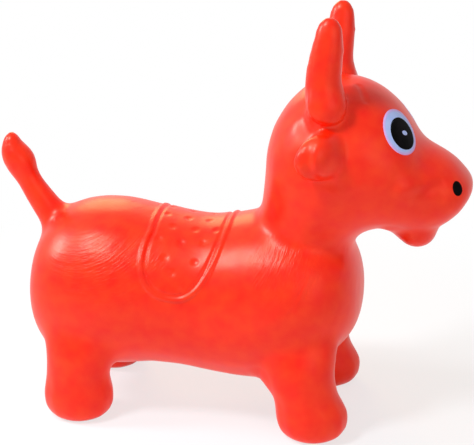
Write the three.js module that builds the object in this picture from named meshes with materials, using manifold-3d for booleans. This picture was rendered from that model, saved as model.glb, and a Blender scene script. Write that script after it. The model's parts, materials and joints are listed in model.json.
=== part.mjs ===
// Inflatable bouncy bull: a hollow soft-PVC skin that a child sits on, with horns to hold,
// a printed face, and an air plug pressed into a valve seat under the belly.
// Millimetres. +X runs to the nose, +Y to the animal's left, +Z up. The origin is on the floor, under the
// middle of the length and width.
import * as THREE from "three";
import { mergeVertices } from "three/addons/utils/BufferGeometryUtils.js";
import Module from "manifold-3d";

const wasm = await Module();
wasm.setup();

// Skin
const SKIN_WALL = 2.6; // soft PVC, the same all over
const SEAT_GAP = 0.3; // clearance where two pieces meet

// Torso: the barrel that the child sits on
const TORSO_REAR = -239;
const TORSO_FRONT = 160;
const RUMP_TOP = 249;
const RUMP_HALF_WIDTH = 101;
const SADDLE_TOP = 232;
const WAIST_HALF_WIDTH = 91;
const SHOULDER_TOP = 252;
const SHOULDER_HALF_WIDTH = 100;
const BELLY_HEIGHT = 41;

// Legs: short stumps on round feet, the sole of each one flat
const REAR_LEG_X = -169;
const FRONT_LEG_X = 101;
const LEG_SPREAD = 146; // between the middles of the left and right feet
const ANKLE_HEIGHT = 56;
const ANKLE_HALF_LENGTH = 38.5;
const ANKLE_HALF_WIDTH = 33;
const FOOT_HEIGHT = 27;
const FOOT_HALF_LENGTH = 43;
const FOOT_HALF_WIDTH = 36;
const SOLE_HALF_LENGTH = 25;
const SOLE_HALF_WIDTH = 24;
const TOE_REACH = 10; // how far the front feet lean forward of their ankles
const FRONT_HIP_BACK = 8; // how far each hip leans towards the belly
const REAR_HIP_AHEAD = 4;

// Head
const NECK_PIVOT = { x: 79.6, z: 191 };
const NECK_BALL_RADIUS = 90; // the round cut that lets the head nod on the shoulders
const NAPE_HEIGHT = 253;
const CROWN_HEIGHT = 409;
const HEAD_HALF_WIDTH = 86;
const MUZZLE_ROOT_X = 215; // where the brow dips to the muzzle
const MUZZLE_LENGTH = 63;
const MUZZLE_HALF_WIDTH = 52;
const CHIN = { x: 216.5, z: 236, halfLength: 25, halfWidth: 34, halfHeight: 21.5 };

// Horns, the two handles
const HORN_ROOT_DEPTH = 58; // from the crown down to the bottom of the root
const HORN_ROOT_HEIGHT = CROWN_HEIGHT - HORN_ROOT_DEPTH;
const HORN_LENGTH = 131;
const HORN_ROOT_INSIDE = 26; // from the side of the head in to the middle of each root
const HORN_SPREAD = 2 * (HEAD_HALF_WIDTH - HORN_ROOT_INSIDE);
const HORN_LEAN = 6; // how far each tip stands outside its root
const HORN_ROOT_HALF_WIDTH = 21;
const HORN_PIVOT = { x: 115, up: 42 }; // up from the bottom of the root
const HORN_BALL_RADIUS = 27;

// Ears
const EAR_ROOT = { x: 125, z: headUp(0.548) };
const EAR_ROOT_SUNK = 13; // how deep each ear's root lies in the side of the head
const EAR_SPREAD = 2 * (HEAD_HALF_WIDTH - EAR_ROOT_SUNK); // between the two ear roots
const EAR_LENGTH = 37;
const EAR_HALF_HEIGHT = 27;
const EAR_HALF_THICKNESS = 21;
const EAR_DROOP = 0.15; // fall and sweep back for each millimetre outwards
const EAR_SWEEP = 0.8;

// Tail
const TAIL_STEM_HALF_WIDTH = 15;
const TAIL_TUFT_HALF_WIDTH = 19.5;
const TAIL_PIVOT = { x: TORSO_REAR + 29, z: RUMP_TOP - 32 }; // inside the top of the rump
const TAIL_BALL_RADIUS = 31;

// Printed face: thin films of ink, laid side by side on the skin
const INK_THICKNESS = 0.5;
const EYE_PLACE = {
  x: MUZZLE_ROOT_X - 19.5,
  y: HEAD_HALF_WIDTH / 2,
  z: headUp(0.671),
  turnedAhead: 28, // degrees
  turnedUp: 28,
};
const EYE = { halfWidth: 22.5, halfHeight: 27 };
const PUPIL = { ahead: 2, below: 2.2, halfWidth: 14.5, halfHeight: 18.2 };
const GLINT = { ahead: 4.9, below: 1.8, halfWidth: 3.5, halfHeight: 4 };
const NOSTRIL_PLACE = {
  x: MUZZLE_ROOT_X + MUZZLE_LENGTH - 17.5,
  y: MUZZLE_HALF_WIDTH - 12,
  z: headUp(0.281),
  turnedAhead: 35,
  turnedUp: 12,
};
const NOSTRIL = { halfWidth: 5.6, halfHeight: 9 };

// Saddle: a raised flap over both flanks, with two raised rims round its edge
const SADDLE_THICKNESS = 0.9;
const SADDLE_RIM_WIDTH = 4;
const SADDLE_RIM_HEIGHT = 1.5;
const SADDLE_RIM_SPACING = 11; // from the outer rim to the inner one
const SADDLE_REAR = -90;
const SADDLE_FRONT = 12;
const SADDLE_LOWEST = 158;
const SADDLE_LOWEST_X = -48;

// Air valve under the belly
const VALVE_X = -40;
const VALVE_BORE_RADIUS = 6.6;
const VALVE_SEAT_RADIUS = 17;
const VALVE_SEAT_HEIGHT = 15;
const PLUG_FLANGE_RADIUS = 11;
const PLUG_FLANGE_THICKNESS = 2.4;
const PLUG_STEM_RADIUS = 5.2;
const PLUG_STEM_LENGTH = 19;
const PLUG_BARBS = 3;
const SPOT_FACE_DEPTH = 0.7; // the flat cut into the round belly for the plug's flange

const SIDES = [["left", 1], ["right", -1]];

// A height on the head, as a share of the way from the nape to the crown.
function headUp(share) {
  return NAPE_HEIGHT + share * (CROWN_HEIGHT - NAPE_HEIGHT);
}

// Geometry helpers

// Turns a closed geometry's triangles round if they face inwards.
function facingOut(geometry) {
  const position = geometry.attributes.position;
  const index = geometry.index.array;
  const [a, b, c] = [new THREE.Vector3(), new THREE.Vector3(), new THREE.Vector3()];
  let volume = 0;
  for (let i = 0; i < index.length; i += 3) {
    a.fromBufferAttribute(position, index[i]);
    b.fromBufferAttribute(position, index[i + 1]);
    c.fromBufferAttribute(position, index[i + 2]);
    volume += a.dot(b.cross(c));
  }
  if (volume < 0) geometry.setIndex(Array.from(index).reverse());
  return geometry;
}

// A geometry with its doubled points merged and no empty triangles.
function welded(geometry) {
  const bare = geometry.clone();
  bare.deleteAttribute("normal");
  bare.deleteAttribute("uv");
  const merged = mergeVertices(bare, 1e-4);
  const index = merged.index.array;
  const whole = [];
  for (let i = 0; i < index.length; i += 3) {
    const [a, b, c] = index.slice(i, i + 3);
    if (a !== b && b !== c && c !== a) whole.push(a, b, c);
  }
  merged.setIndex(whole);
  return facingOut(merged);
}

// A three.js geometry as a closed solid that can be cut and joined.
function solid(geometry) {
  const merged = welded(geometry);
  return new wasm.Manifold(
    new wasm.Mesh({
      numProp: 3,
      vertProperties: merged.attributes.position.array,
      triVerts: new Uint32Array(merged.index.array),
    }),
  );
}

// A solid back as a three.js geometry.
function geometryOf(shape) {
  const mesh = shape.getMesh();
  const geometry = new THREE.BufferGeometry();
  geometry.setAttribute("position", new THREE.BufferAttribute(mesh.vertProperties, 3));
  geometry.setIndex(new THREE.BufferAttribute(mesh.triVerts, 1));
  geometry.computeVertexNormals();
  return geometry;
}

// A swelling, tapering form. Each station is an oval ring, drawn in side view between edge points a and b,
// [x, z], and reaching half its width to each side of y. A station whose half width is 0 closes in a point.
function loft(stations, { steps, sides }) {
  const through = (pick) => new THREE.CatmullRomCurve3(stations.map(pick), false, "centripetal");
  const edgeA = through((s) => new THREE.Vector3(s.a[0], s.y ?? 0, s.a[1]));
  const edgeB = through((s) => new THREE.Vector3(s.b[0], s.y ?? 0, s.b[1]));
  const width = through((s) => new THREE.Vector3((s.a[0] + s.b[0]) / 2, s.half, (s.a[1] + s.b[1]) / 2));
  const points = [];
  const index = [];
  const rings = [];
  for (let i = 0; i <= steps; i++) {
    const t = i / steps;
    const a = edgeA.getPoint(t);
    const b = edgeB.getPoint(t);
    const middle = a.clone().lerp(b, 0.5);
    const half = width.getPoint(t).y;
    const atEnd = i === 0 || i === steps;
    const closes = atEnd && stations[i === 0 ? 0 : stations.length - 1].half === 0;
    if (atEnd) {
      points.push(middle);
      rings.push([points.length - 1]);
    }
    if (closes) continue;
    const ring = [];
    for (let j = 0; j < sides; j++) {
      const angle = (2 * Math.PI * j) / sides;
      const point = middle.clone().addScaledVector(a.clone().sub(middle), Math.cos(angle));
      point.y += half * Math.sin(angle);
      points.push(point);
      ring.push(points.length - 1);
    }
    rings.splice(i === steps ? -1 : rings.length, 0, ring);
  }
  for (let r = 0; r + 1 < rings.length; r++) {
    const [low, high] = [rings[r], rings[r + 1]];
    for (let j = 0; j < sides; j++) {
      const k = (j + 1) % sides;
      if (low.length > 1) index.push(low[j], low[k], high[k % high.length]);
      if (high.length > 1) index.push(low[j % low.length], high[k], high[j]);
    }
  }
  const geometry = new THREE.BufferGeometry().setFromPoints(points);
  geometry.setIndex(index);
  return facingOut(geometry);
}

// The same form with every point moved out along its normal, or in where the distance is below 0.
function grown(geometry, distance) {
  const moved = welded(geometry);
  moved.computeVertexNormals();
  const { position, normal } = moved.attributes;
  for (let i = 0; i < position.count; i++) {
    position.setXYZ(
      i,
      position.getX(i) + normal.getX(i) * distance,
      position.getY(i) + normal.getY(i) * distance,
      position.getZ(i) + normal.getZ(i) * distance,
    );
  }
  return moved;
}

// The inside of a skin of this outer form.
const hollowOf = (geometry) => solid(grown(geometry, -SKIN_WALL));

function ball(centre, radius, segments) {
  const sphere = new THREE.SphereGeometry(radius, segments, segments);
  return solid(sphere.translate(centre.x, centre.y ?? 0, centre.z));
}

// An upright round bar from z = low to z = high.
function bar(radius, x, low, high, segments = 24) {
  const cylinder = new THREE.CylinderGeometry(radius, radius, high - low, segments);
  return solid(cylinder.rotateX(Math.PI / 2).translate(x, 0, (low + high) / 2));
}

// A side-view outline pushed through sideways, from y = 0 outwards on one side.
function sidePrism(shape, reach, side) {
  const prism = new THREE.ExtrudeGeometry(shape, { depth: reach, bevelEnabled: false, curveSegments: 7 });
  return solid(prism.rotateX(Math.PI / 2).scale(1, -side, 1));
}

// An oval pushed through the skin at a place on one side of the head, the way that the place faces.
function ovalPrism({ ahead = 0, below = 0, halfWidth, halfHeight }, place, side, more = 0) {
  const yaw = THREE.MathUtils.degToRad(place.turnedAhead);
  const pitch = THREE.MathUtils.degToRad(place.turnedUp);
  const forward = new THREE.Vector3(Math.cos(yaw), -side * Math.sin(yaw), 0);
  const facing = new THREE.Vector3(
    Math.sin(yaw) * Math.cos(pitch),
    side * Math.cos(yaw) * Math.cos(pitch),
    Math.sin(pitch),
  );
  const upward = new THREE.Vector3(
    -Math.sin(yaw) * Math.sin(pitch),
    -side * Math.cos(yaw) * Math.sin(pitch),
    Math.cos(pitch),
  );
  const oval = new THREE.Shape();
  oval.absellipse(ahead, -below, halfWidth + more, halfHeight + more, 0, 2 * Math.PI);
  const depth = 90;
  const curveSegments = Math.round(4 + halfHeight / 3);
  const prism = new THREE.ExtrudeGeometry(oval, { depth, bevelEnabled: false, curveSegments });
  const placed = new THREE.Matrix4().makeBasis(forward, upward, facing);
  placed.setPosition(new THREE.Vector3(place.x, side * place.y, place.z).addScaledVector(facing, -depth / 2));
  return solid(prism.applyMatrix4(placed));
}

// Outer forms

const point = (x, z) => ({ a: [x, z], b: [x, z], half: 0 });
const ring = (a, b, half) => ({ a, b, half });
const slice = (x, top, bottom, half) => ring([x, top], [x, bottom], half);

function torsoForm() {
  return loft(
    [
      point(TORSO_REAR, 141),
      slice(TORSO_REAR + 6, 190, 90, RUMP_HALF_WIDTH / 2),
      slice(TORSO_REAR + 22, RUMP_TOP - 29, 59, RUMP_HALF_WIDTH - 24),
      slice(TORSO_REAR + 53, RUMP_TOP - 7, 43, RUMP_HALF_WIDTH - 7),
      slice(TORSO_REAR + 103, RUMP_TOP, BELLY_HEIGHT + 3, RUMP_HALF_WIDTH),
      slice(-76, SADDLE_TOP + 7, BELLY_HEIGHT + 10, WAIST_HALF_WIDTH + 3),
      slice(-20, SADDLE_TOP, BELLY_HEIGHT + 3, WAIST_HALF_WIDTH),
      slice(36, SHOULDER_TOP - 6, BELLY_HEIGHT - 1, SHOULDER_HALF_WIDTH - 2),
      slice(73, SHOULDER_TOP, BELLY_HEIGHT + 5, SHOULDER_HALF_WIDTH),
      slice(TORSO_FRONT - 54, SHOULDER_TOP - 6, BELLY_HEIGHT + 23, SHOULDER_HALF_WIDTH - 5),
      slice(TORSO_FRONT - 25, SHOULDER_TOP - 23, BELLY_HEIGHT + 46, SHOULDER_HALF_WIDTH - 22),
      slice(TORSO_FRONT - 5, 191, 118, SHOULDER_HALF_WIDTH / 2 - 6),
      point(TORSO_FRONT, 153),
    ],
    { steps: 20, sides: 20 },
  );
}

// A leg from inside the torso down to its flat sole, on one side.
function legForm({ x, hip, toe }, side) {
  const level = (z, halfLength, half, inwards = 0, ahead = 0) => ({
    a: [x + ahead + halfLength, z],
    b: [x + ahead - halfLength, z],
    y: side * (LEG_SPREAD / 2 - inwards),
    half,
  });
  return loft(
    [
      level(ANKLE_HEIGHT + 74, ANKLE_HALF_LENGTH, ANKLE_HALF_WIDTH - 12, 14, hip),
      level(ANKLE_HEIGHT + 52, ANKLE_HALF_LENGTH + 8, ANKLE_HALF_WIDTH - 3, 9, hip),
      level(ANKLE_HEIGHT + 26, ANKLE_HALF_LENGTH + 5, ANKLE_HALF_WIDTH + 1, 4, hip),
      level(ANKLE_HEIGHT, ANKLE_HALF_LENGTH, ANKLE_HALF_WIDTH, 1),
      level(FOOT_HEIGHT + 12, FOOT_HALF_LENGTH - 2, FOOT_HALF_WIDTH - 2, 0, toe * 0.7),
      level(FOOT_HEIGHT, FOOT_HALF_LENGTH, FOOT_HALF_WIDTH, 0, toe),
      level(FOOT_HEIGHT * 0.42, FOOT_HALF_LENGTH - 3, FOOT_HALF_WIDTH - 2, 0, toe),
      level(FOOT_HEIGHT * 0.12, FOOT_HALF_LENGTH - 10, FOOT_HALF_WIDTH - 7, 0, toe),
      level(0, SOLE_HALF_LENGTH, SOLE_HALF_WIDTH, 0, toe),
    ],
    { steps: 10, sides: 12 },
  );
}

// The head as rings that fan round the throat, from the neck inside the shoulders to the nose.
function headForm() {
  const brow = (back) => MUZZLE_ROOT_X - back;
  const along = (share) => MUZZLE_ROOT_X + share * MUZZLE_LENGTH;
  return loft(
    [
      ring([25, headUp(-0.2)], [138, 188], 60),
      ring([38, NAPE_HEIGHT], [150, 220], 65),
      ring([42, headUp(0.206)], [158, 229], 73),
      ring([43.5, headUp(0.477)], [167, 234], 80),
      ring([57, headUp(0.71)], [176, 236], HEAD_HALF_WIDTH - 2),
      ring([85, headUp(0.923)], [185, 237], HEAD_HALF_WIDTH),
      ring([121, CROWN_HEIGHT], [194, 236], HEAD_HALF_WIDTH - 2),
      ring([brow(64), headUp(0.981)], [brow(13), 233], HEAD_HALF_WIDTH - 6),
      ring([brow(36), headUp(0.89)], [brow(4), 233], HEAD_HALF_WIDTH - 12),
      ring([brow(14), headUp(0.748)], [brow(-5), 233], HEAD_HALF_WIDTH - 20),
      ring([along(0), headUp(0.6)], [along(0.22), 234], MUZZLE_HALF_WIDTH + 6),
      ring([along(0.2), headUp(0.535)], [along(0.34), 237], MUZZLE_HALF_WIDTH + 2),
      ring([along(0.45), headUp(0.484)], [along(0.46), 242], MUZZLE_HALF_WIDTH - 1),
      ring([along(0.68), headUp(0.419)], [along(0.62), 250], MUZZLE_HALF_WIDTH - 6),
      ring([along(0.87), headUp(0.335)], [along(0.79), 262], MUZZLE_HALF_WIDTH - 14),
      ring([along(0.97), headUp(0.277)], [along(0.91), 276], MUZZLE_HALF_WIDTH - 27),
      point(along(1), headUp(0.213)),
    ],
    { steps: 22, sides: 18 },
  );
}

function chinForm() {
  return new THREE.SphereGeometry(1, 14, 9)
    .scale(CHIN.halfLength, CHIN.halfWidth, CHIN.halfHeight)
    .translate(CHIN.x, 0, CHIN.z);
}

function hornForm(side) {
  const level = (share, rear, front, half) => {
    const z = HORN_ROOT_HEIGHT + share * HORN_LENGTH;
    const y = side * (HORN_SPREAD / 2 + (share - 1 / 3) * HORN_LEAN);
    return { a: [rear, z], b: [front, z], y, half };
  };
  return loft(
    [
      level(0, 115, 115, 0),
      level(0.12, 97, 132, HORN_ROOT_HALF_WIDTH - 3),
      level(0.29, 94, 139, HORN_ROOT_HALF_WIDTH),
      level(0.43, 93, 134, HORN_ROOT_HALF_WIDTH - 1.5),
      level(0.56, 95, 134, HORN_ROOT_HALF_WIDTH - 4),
      level(0.69, 98, 135, HORN_ROOT_HALF_WIDTH - 5.5),
      level(0.83, 103, 134.5, HORN_ROOT_HALF_WIDTH - 8),
      level(0.94, 109, 131, HORN_ROOT_HALF_WIDTH - 12),
      level(1, 120, 120, 0),
    ],
    { steps: 9, sides: 10 },
  );
}

// An ear drawn pointing up, then laid outwards on its side.
function earForm(side) {
  const level = (out, halfHeight, half) => ({ a: [halfHeight, out], b: [-halfHeight, out], half });
  const upright = loft(
    [
      level(-22, EAR_HALF_HEIGHT - 6, EAR_HALF_THICKNESS - 2),
      level(0, EAR_HALF_HEIGHT - 2, EAR_HALF_THICKNESS),
      level(EAR_LENGTH * 0.36, EAR_HALF_HEIGHT, EAR_HALF_THICKNESS - 1),
      level(EAR_LENGTH * 0.68, EAR_HALF_HEIGHT * 0.84, EAR_HALF_THICKNESS * 0.76),
      level(EAR_LENGTH * 0.9, EAR_HALF_HEIGHT * 0.48, EAR_HALF_THICKNESS * 0.45),
      level(EAR_LENGTH, 0, 0),
    ],
    { steps: 7, sides: 10 },
  );
  const position = upright.attributes.position;
  for (let i = 0; i < position.count; i++) {
    const [up, thick, out] = [position.getX(i), position.getY(i), position.getZ(i)];
    position.setXYZ(
      i,
      EAR_ROOT.x + thick - EAR_SWEEP * out,
      side * (EAR_SPREAD / 2 + out),
      EAR_ROOT.z + up - EAR_DROOP * out,
    );
  }
  return facingOut(upright);
}

function tailForm() {
  const stem = TAIL_STEM_HALF_WIDTH;
  const tuft = TAIL_TUFT_HALF_WIDTH;
  const at = (back, up) => [TAIL_PIVOT.x - back, TAIL_PIVOT.z + up];
  return loft(
    [
      ring(at(-28, 5), at(12, -35), stem + 5),
      ring(at(-9, 21), at(21, -10), stem + 4.5),
      ring(at(3, 33), at(30, 11), stem + 1.5),
      ring(at(14, 46), at(40, 28), stem),
      ring(at(22, 58), at(47, 42), stem - 1),
      ring(at(24.5, 68), at(55, 54), tuft - 3.5),
      ring(at(27, 80), at(64.5, 69), tuft),
      ring(at(38, 92), at(67, 86), tuft - 3.5),
      ring(at(49, 102), at(62, 99), tuft - 11),
      point(...at(53, 107)),
    ],
    { steps: 13, sides: 10 },
  );
}

// The saddle's edge in side view, drawn in from the outer edge by an inset.
function saddleShape(inset) {
  const rear = SADDLE_REAR + inset;
  const front = SADDLE_FRONT - inset;
  const lowest = SADDLE_LOWEST + inset;
  const overTheBack = RUMP_TOP + 20;
  const shape = new THREE.Shape();
  shape.moveTo(front - 6, overTheBack);
  shape.lineTo(rear + 4, overTheBack);
  shape.lineTo(rear + 4, SADDLE_TOP - 4);
  shape.bezierCurveTo(rear - 8, SADDLE_TOP - 34, rear - 4, lowest, SADDLE_LOWEST_X, lowest);
  shape.bezierCurveTo(SADDLE_LOWEST_X + 30, lowest, front - 14, SADDLE_TOP - 40, front - 6, SADDLE_TOP);
  shape.closePath();
  return shape;
}

// Materials

const finish = (color, roughness) => new THREE.MeshStandardMaterial({ color, roughness, metalness: 0 });
const skinPvc = finish(0xf8462a, 0.4);
const eyeWhite = finish(0xdde6ff, 0.35);
const blackInk = finish(0x0b0a0d, 0.35);
const plugPlastic = finish(0xf1ede2, 0.45);

const hopper = new THREE.Group();

function addPiece(name, shape, material) {
  const mesh = new THREE.Mesh(geometryOf(shape), material);
  mesh.name = name;
  hopper.add(mesh);
}

// Assembly

const torso = torsoForm();
const head = headForm();
const chin = chinForm();
const tail = tailForm();
const legPairs = [
  { end: "front", x: FRONT_LEG_X, hip: -FRONT_HIP_BACK, toe: TOE_REACH },
  { end: "rear", x: REAR_LEG_X, hip: REAR_HIP_AHEAD, toe: 0 },
];
const legs = legPairs.flatMap((pair) =>
  SIDES.map(([name, side]) => ({ name: `${pair.end}_leg_${name}`, form: legForm(pair, side) })),
);
const horns = SIDES.map(([name, side]) => ({
  name: `horn_${name}`,
  form: hornForm(side),
  pivot: { x: HORN_PIVOT.x, y: (side * HORN_SPREAD) / 2, z: HORN_ROOT_HEIGHT + HORN_PIVOT.up },
}));
const ears = SIDES.map(([name, side]) => ({ name: `ear_${name}`, form: earForm(side) }));

const neckBall = ball(NECK_PIVOT, NECK_BALL_RADIUS, 44);
const neckBallCleared = ball(NECK_PIVOT, NECK_BALL_RADIUS + SEAT_GAP, 44);
const tailBall = ball(TAIL_PIVOT, TAIL_BALL_RADIUS, 28);
const tailBallCleared = ball(TAIL_PIVOT, TAIL_BALL_RADIUS + SEAT_GAP, 28);
const torsoCleared = solid(grown(torso, SEAT_GAP));
const headSolid = solid(head).add(solid(chin));
const headHollow = hollowOf(head);
const headCleared = solid(grown(head, SEAT_GAP));

// The belly's lowest point over the valve, and the flat that the plug's flange seats on
const bellyAtValve = solid(torso).intersect(bar(1, VALVE_X, 0, SADDLE_TOP / 2, 6)).boundingBox().min[2];
const spotFace = bellyAtValve + SPOT_FACE_DEPTH;

function buildTorso() {
  let skin = solid(torso).add(headSolid.intersect(neckBall)).add(solid(tail).intersect(tailBall));
  skin = skin.subtract(hollowOf(torso)).subtract(headHollow).subtract(hollowOf(tail));
  for (const leg of legs) skin = skin.subtract(hollowOf(leg.form));
  skin = skin.subtract(bar(VALVE_BORE_RADIUS, VALVE_X, 0, bellyAtValve + 3 * SKIN_WALL));
  skin = skin.subtract(bar(PLUG_FLANGE_RADIUS + 1, VALVE_X, 0, spotFace));
  addPiece("torso_skin", skin, skinPvc);
}

function buildLegs() {
  for (const leg of legs) {
    addPiece(leg.name, solid(leg.form).subtract(hollowOf(leg.form)).subtract(torsoCleared), skinPvc);
  }
}

// The room of a horn's root: everything below its pivot, and a ball round it for the horn to bend over.
function hornRoot({ pivot }, clearance) {
  const size = 3 * HORN_BALL_RADIUS;
  const below = new THREE.BoxGeometry(size, size, size);
  below.translate(pivot.x, pivot.y, pivot.z + clearance - size / 2);
  return ball(pivot, HORN_BALL_RADIUS + clearance, 28).add(solid(below));
}

function buildHead() {
  let skin = headSolid;
  for (const horn of horns) skin = skin.add(solid(horn.form).intersect(hornRoot(horn, 0)));
  skin = skin.subtract(headHollow).subtract(hollowOf(chin));
  for (const limb of [...horns, ...ears]) skin = skin.subtract(hollowOf(limb.form));
  addPiece("head_skin", skin.subtract(neckBallCleared).subtract(torsoCleared), skinPvc);
}

function buildHorns() {
  for (const horn of horns) {
    const skin = solid(horn.form).subtract(hollowOf(horn.form));
    addPiece(horn.name, skin.subtract(hornRoot(horn, SEAT_GAP)).subtract(headCleared), skinPvc);
  }
}

function buildEars() {
  for (const ear of ears) {
    addPiece(ear.name, solid(ear.form).subtract(hollowOf(ear.form)).subtract(headCleared), skinPvc);
  }
}

function buildTail() {
  const skin = solid(tail).subtract(hollowOf(tail));
  addPiece("tail", skin.subtract(tailBallCleared).subtract(torsoCleared), skinPvc);
}

function buildFace() {
  const inkLayer = solid(grown(head, SEAT_GAP + INK_THICKNESS)).subtract(headCleared);
  const printed = (mark, place, side) => inkLayer.intersect(ovalPrism(mark, place, side));
  for (const [name, side] of SIDES) {
    const pupilHole = ovalPrism(PUPIL, EYE_PLACE, side, SEAT_GAP);
    const glintHole = ovalPrism(GLINT, EYE_PLACE, side, SEAT_GAP);
    addPiece(`eye_white_${name}`, printed(EYE, EYE_PLACE, side).subtract(pupilHole), eyeWhite);
    addPiece(`pupil_${name}`, printed(PUPIL, EYE_PLACE, side).subtract(glintHole), blackInk);
    addPiece(`eye_glint_${name}`, printed(GLINT, EYE_PLACE, side), eyeWhite);
    addPiece(`nostril_${name}`, printed(NOSTRIL, NOSTRIL_PLACE, side), blackInk);
  }
}

function buildSaddle() {
  const across = (inset) => {
    const [left, right] = SIDES.map(([, side]) => sidePrism(saddleShape(inset), 2 * RUMP_HALF_WIDTH, side));
    return left.add(right);
  };
  const rim = (inset) => across(inset).subtract(across(inset + SADDLE_RIM_WIDTH));
  const raised = (height) => solid(grown(torso, SEAT_GAP + height));
  const rims = rim(0).add(rim(SADDLE_RIM_SPACING));
  const panel = raised(SADDLE_THICKNESS).intersect(across(0));
  const ridges = raised(SADDLE_THICKNESS + SADDLE_RIM_HEIGHT).intersect(rims);
  const saddle = panel.add(ridges).subtract(torsoCleared).subtract(neckBallCleared);
  addPiece("saddle_panel", saddle, skinPvc);
}

function buildValve() {
  const seatTop = bellyAtValve + SKIN_WALL + VALVE_SEAT_HEIGHT;
  const insideSkin = solid(grown(torso, -SKIN_WALL - SEAT_GAP));
  const seat = bar(VALVE_SEAT_RADIUS, VALVE_X, 0, seatTop, 28).intersect(insideSkin);
  addPiece("valve_seat", seat.subtract(bar(VALVE_BORE_RADIUS, VALVE_X, 0, seatTop + 1)), skinPvc);

  // The plug's profile, from the middle of its flange up round the barbs to the tip of its stem
  const flangeTop = spotFace - SEAT_GAP;
  const flangeBottom = flangeTop - PLUG_FLANGE_THICKNESS;
  const barbRadius = VALVE_BORE_RADIUS - SEAT_GAP;
  const barbPitch = (PLUG_STEM_LENGTH - 4) / PLUG_BARBS;
  const profile = [
    [0, flangeBottom],
    [PLUG_FLANGE_RADIUS - 1, flangeBottom],
    [PLUG_FLANGE_RADIUS, flangeBottom + 0.8],
    [PLUG_FLANGE_RADIUS, flangeTop],
    [PLUG_STEM_RADIUS, flangeTop],
  ];
  for (let i = 0; i < PLUG_BARBS; i++) {
    const start = flangeTop + 2 + i * barbPitch;
    profile.push([PLUG_STEM_RADIUS, start], [barbRadius, start + 0.6], [barbRadius, start + 1.4]);
    profile.push([PLUG_STEM_RADIUS, start + 3]);
  }
  profile.push([PLUG_STEM_RADIUS - 1.5, flangeTop + PLUG_STEM_LENGTH], [0, flangeTop + PLUG_STEM_LENGTH]);
  const plug = new THREE.LatheGeometry(profile.map(([r, z]) => new THREE.Vector2(r, z)), 18);
  addPiece("valve_plug", solid(plug.rotateX(Math.PI / 2).translate(VALVE_X, 0, 0)), plugPlastic);
}

buildTorso();
buildLegs();
buildHead();
buildHorns();
buildEars();
buildTail();
buildFace();
buildSaddle();
buildValve();

export default hopper;
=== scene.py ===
"""The looks of an inflatable bouncy bull: one soft PVC skin, its printed face and its air plug."""
import json
import math

import bmesh
import bpy
import numpy as np
from mathutils import Matrix, Vector, noise
from mathutils.bvhtree import BVHTree


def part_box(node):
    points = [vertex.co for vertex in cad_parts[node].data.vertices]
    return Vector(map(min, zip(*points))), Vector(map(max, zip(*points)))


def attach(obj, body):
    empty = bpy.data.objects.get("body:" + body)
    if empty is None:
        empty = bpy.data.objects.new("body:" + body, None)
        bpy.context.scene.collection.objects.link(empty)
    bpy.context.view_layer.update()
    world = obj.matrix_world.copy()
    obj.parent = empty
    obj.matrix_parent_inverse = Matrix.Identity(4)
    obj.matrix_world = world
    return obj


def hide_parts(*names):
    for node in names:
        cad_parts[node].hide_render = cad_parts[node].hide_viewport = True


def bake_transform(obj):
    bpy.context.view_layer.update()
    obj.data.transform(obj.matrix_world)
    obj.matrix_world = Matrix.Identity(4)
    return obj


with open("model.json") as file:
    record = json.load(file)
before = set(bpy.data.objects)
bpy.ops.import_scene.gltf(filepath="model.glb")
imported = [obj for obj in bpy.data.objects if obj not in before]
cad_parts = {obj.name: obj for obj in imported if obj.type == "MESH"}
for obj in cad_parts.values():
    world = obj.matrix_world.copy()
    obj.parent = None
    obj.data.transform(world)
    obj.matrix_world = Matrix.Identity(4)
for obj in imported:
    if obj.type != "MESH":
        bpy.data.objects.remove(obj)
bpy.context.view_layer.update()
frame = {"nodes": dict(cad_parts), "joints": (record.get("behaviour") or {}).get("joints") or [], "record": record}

MM = 0.001
FAR = 1e9  # further than any point, in mm

# Where a pair of numbers gives a fade, a value rises smoothly from 0 at the first to 1 at the second.

# The camera, where the photograph was taken from
CAMERA_AZIMUTH = 11  # degrees
CAMERA_ELEVATION = 19
CAMERA_DISTANCE = 1.4
CAMERA_TARGET = Vector((0.009, 0, 0.228))
SENSOR_WIDTH = 36  # mm
WIDTH_AT_TARGET = 0.5546  # metres across the image, at the target

# The skin's mesh, in millimetres
VOXEL = 3.2
BROAD_SMOOTHING = 11  # reach of the smoothing on the torso and head
FINE_SMOOTHING = 5  # reach on the horns, ears, tail and feet
MUZZLE_SMOOTHING = 7
BLUR_SHARE = 0.5  # how far a point moves to its neighbours' mean in each pass of the smoothing
BORE_STOP_SHARE = 0.45  # the radius of what stops the valve's bore, against the width of its seat
BORE_STOP_SIDES = 24
CREASE_PASSES = 30
CREASE_KEPT = 0.02  # the hollow that is left in each pass, as a share of a voxel
SOLE_HEIGHT = 0.8  # points below this are pressed flat on the ground
EAR_PASSES = 14
EAR_PASS_SHARE = 0.5

# Regions of the skin, as fades in mm. Back is the way towards the tail, against x.
HORN_PLACE = (115, 60)  # x, and y on both sides
HORN_ROUND = (30, 42)  # away from there
HORN_FLOOR = (330, 345)
EAR_SIDE = (72, 82)
EAR_FLOOR = (285, 305)
TAIL_BACK = (205, 235)
TAIL_FLOOR = (215, 235)
FOOT_TOP = (45, 75)
MUZZLE_START = (195, 225)
MUZZLE_CREASES = (180, 205)  # creases aren't filled ahead of this
REAR_LEG_CREASES = [(75, 100), (95, 125)]  # nor back of the first and below the second
TAIL_CREASES = (180, 200)  # nor back of this

# Where the skin is divided, and the bands where it bends, in millimetres along each limb's own axis
HORN_AXIS = Vector((0, 0.67, 0.742))  # up and out through each horn's root, on the left side
HORN_SEAM, HORN_BEND = 331, (333, 372)
HORN_REACH = 42  # how far from its place a horn's root spreads
HORN_LOWEST = 368
TAIL_AXIS = Vector((-0.56, 0, 0.83))
TAIL_SEAM, TAIL_BEND = 12, (13, 80)
TAIL_FRONT = -180
LIMB_CAP, BODY_CAP = 4, -8  # the height of the cones that close the pieces, all inside the skin

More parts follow.
